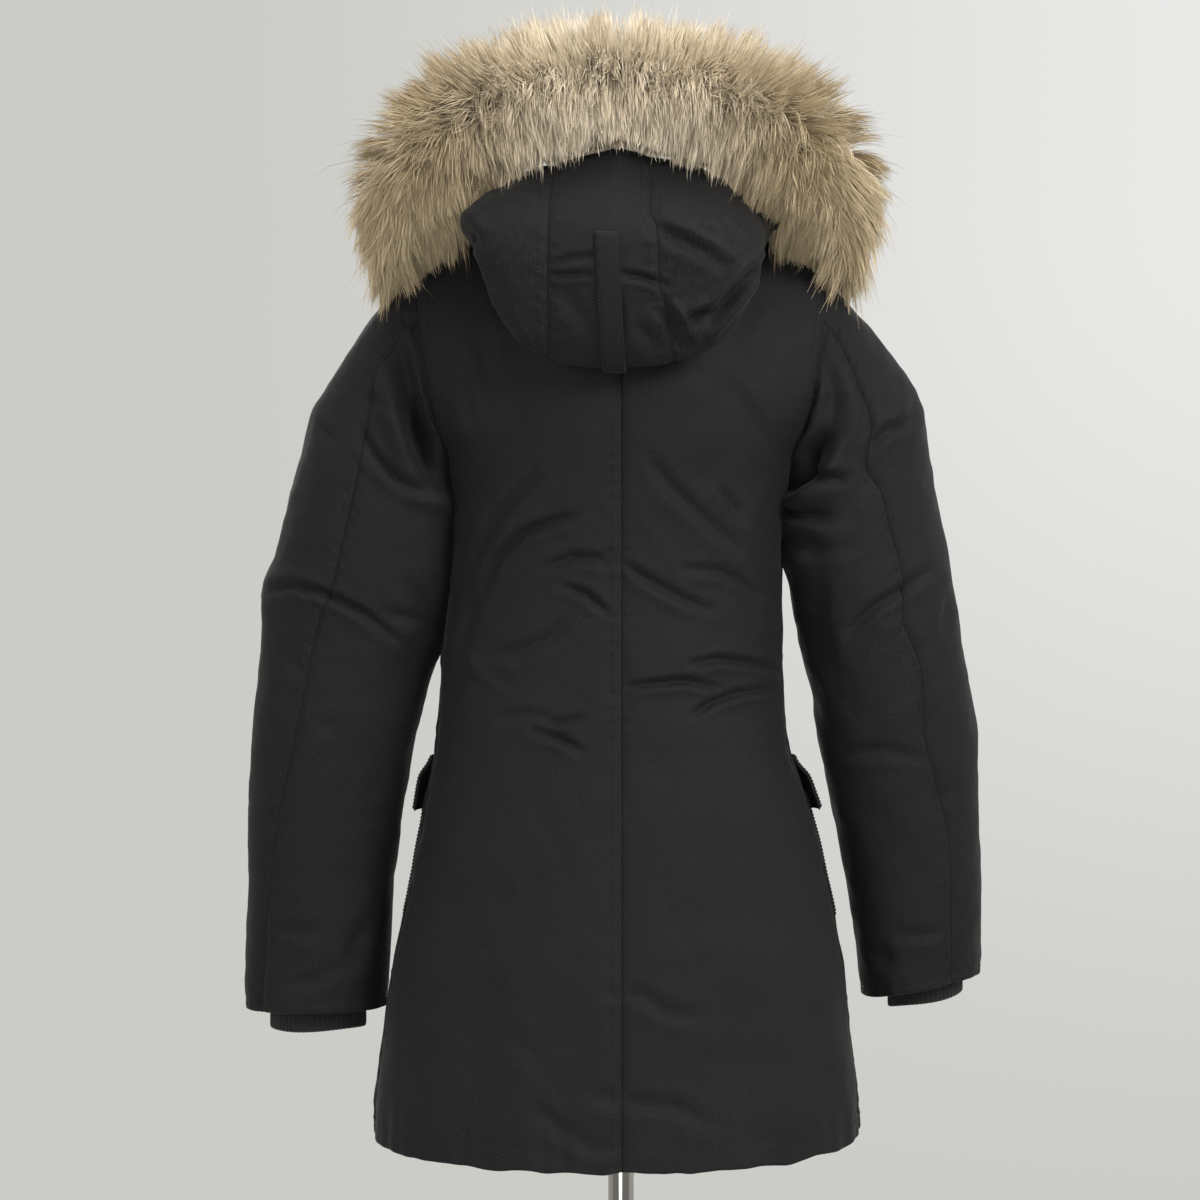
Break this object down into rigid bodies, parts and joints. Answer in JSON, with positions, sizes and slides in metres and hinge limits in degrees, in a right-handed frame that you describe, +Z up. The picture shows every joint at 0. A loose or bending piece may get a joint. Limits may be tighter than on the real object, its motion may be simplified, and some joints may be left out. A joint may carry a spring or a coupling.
{
  "type": "hooded down parka on a dress form with a pole stand",
  "caption": "Knee-high fitted hooded parka with a fur ruff, hood down, long sleeves with knit cuffs, flared hem, worn by a limbless dress form on a chrome pole stand.",
  "frame": {"origin": "middle of the stand's underside, on the floor", "axes": "+Z up, the coat's front faces -Y, +X is the wearer's left"},
  "size_m": [0.6921, 0.3645, 1.5894],
  "materials": {
    "coat_cloth": "matt close-woven shell cloth, soft sheen",
    "zip_tape": "woven tape",
    "rib_knit": "rib knit",
    "fur": "long clumped fur, pale tan with darker tips",
    "form_linen": "plain woven cover",
    "turned_wood": "pale, satin varnish",
    "chrome_stand": "polished"
  },
  "bodies": {
    "root": {"back_left": "coat_cloth", "back_right": "coat_cloth", "front_left": "coat_cloth", "front_right": "coat_cloth", "sleeve_under_left": "coat_cloth", "sleeve_outer_left": "coat_cloth", "sleeve_under_right": "coat_cloth", "sleeve_outer_right": "coat_cloth", "hood_centre": "coat_cloth", "hood_left": "coat_cloth", "hood_right": "coat_cloth", "hood_strap": "coat_cloth", "front_fly": "coat_cloth", "pocket_left": "coat_cloth", "pocket_flap_left": "coat_cloth", "pocket_right": "coat_cloth", "pocket_flap_right": "coat_cloth", "zip_tape": "zip_tape", "knit_cuff_left": "rib_knit", "knit_cuff_right": "rib_knit", "fur_ruff": "fur", "form_torso": "form_linen", "neck_finial": "turned_wood", "stand_pole": "chrome_stand", "stand_base": "chrome_stand"}
  },
  "joints": []
}
